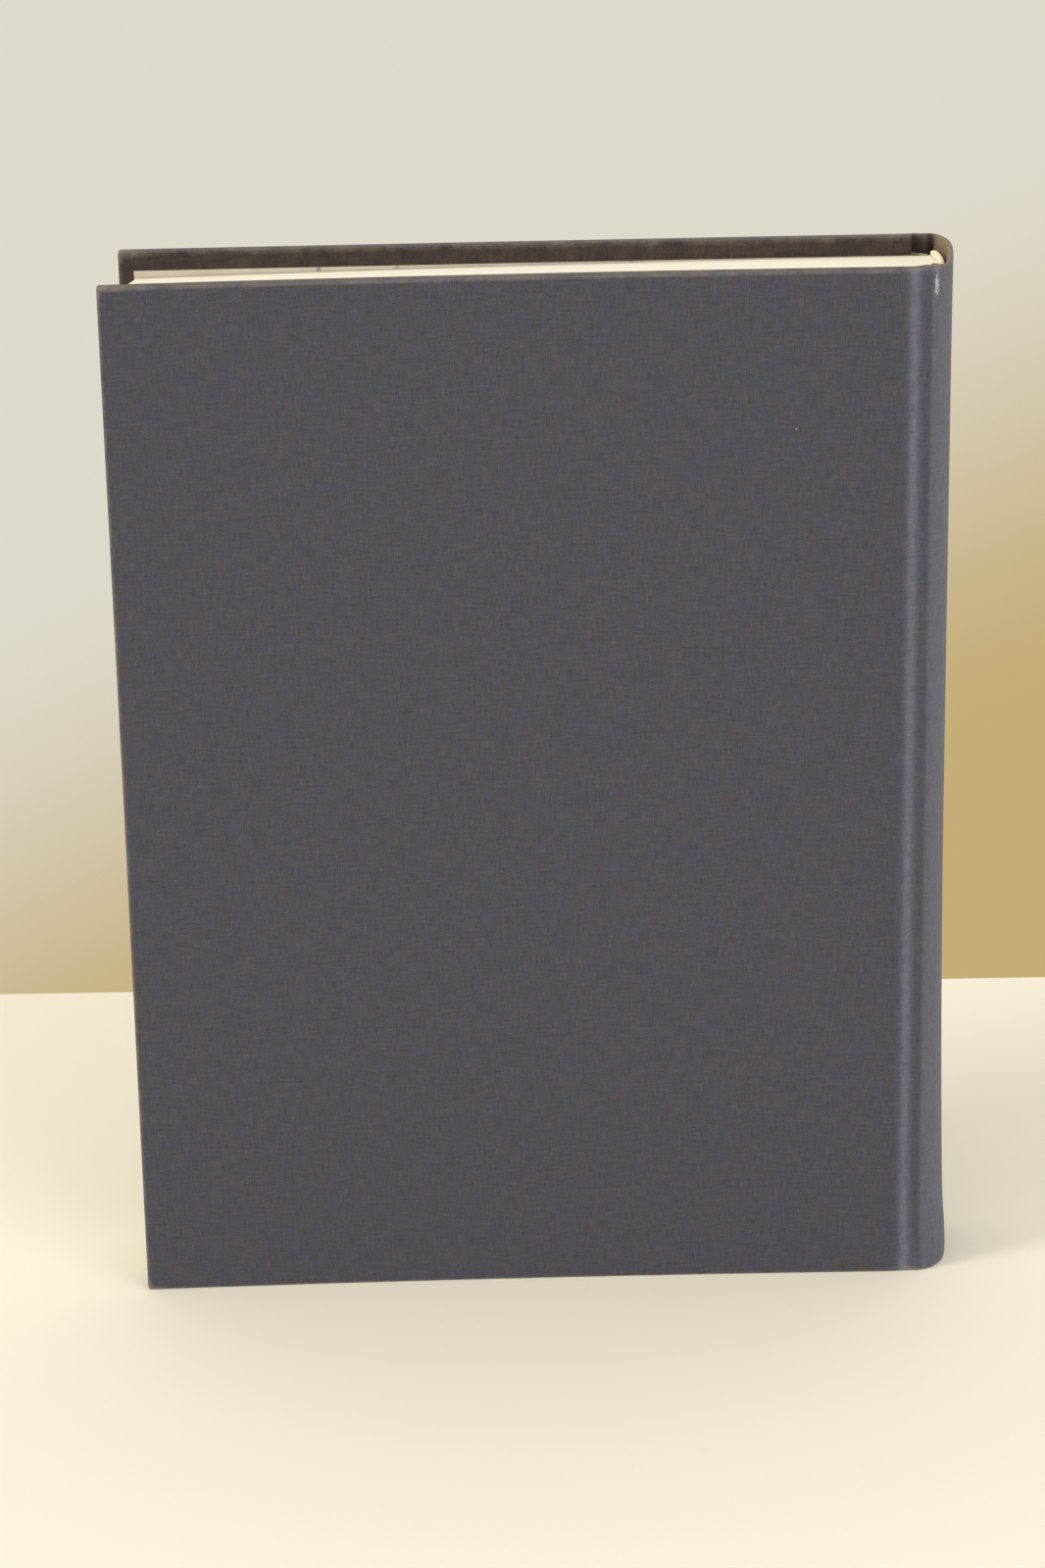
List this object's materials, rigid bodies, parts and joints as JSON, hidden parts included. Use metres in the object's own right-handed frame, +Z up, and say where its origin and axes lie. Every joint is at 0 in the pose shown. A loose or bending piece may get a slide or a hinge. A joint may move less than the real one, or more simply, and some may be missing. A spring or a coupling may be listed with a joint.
{
  "type": "clothbound hardcover book",
  "caption": "Clothbound hardcover book with a rounded spine, pressed joints, cased sewn pages, headbands and covers that open on their joints.",
  "frame": {"origin": "middle of the box of the whole book in plan, at the tail edge it stands on", "axes": "+Z up from tail to head, +X from the fore edge towards the spine, +Y from the back cover to the front cover"},
  "size_m": [0.2152, 0.0336, 0.2858],
  "materials": {
    "book_cloth": "fine plain-weave book cloth, charcoal, matte",
    "pages": "cut edges of coated paper leaves, warm white",
    "endpaper": "uncoated endpaper, grey beige, matte",
    "binders_board": "grey pulp board, matte",
    "spine_card": "thin grey card, matte",
    "mull": "open-weave cotton lining, glued",
    "kraft_lining": "brown kraft paper, matte",
    "headband": "woven cotton band, cream"
  },
  "bodies": {
    "pages_and_spine": {"text_block": "pages", "back_flyleaf": "endpaper", "front_flyleaf": "endpaper", "spine_inlay": "spine_card", "spine_cloth": "book_cloth", "spine_mull": "mull", "spine_paper_lining": "kraft_lining", "head_band": "headband", "tail_band": "headband"},
    "back_cover": {"back_board": "binders_board", "back_cover_cloth": "book_cloth", "back_pastedown": "endpaper"},
    "front_cover": {"front_board": "binders_board", "front_cover_cloth": "book_cloth", "front_pastedown": "endpaper"}
  },
  "joints": [
    {"name": "back_cover_hinge", "type": "hinge", "parent": "pages_and_spine", "child": "back_cover", "pos_m": [0.10042, -0.01339, 0.1429], "axis": [0, 0, 1], "range_deg": [0, 180]},
    {"name": "front_cover_hinge", "type": "hinge", "parent": "pages_and_spine", "child": "front_cover", "pos_m": [0.10417, 0.01711, 0.1429], "axis": [0, 0, -1], "range_deg": [0, 180]}
  ]
}
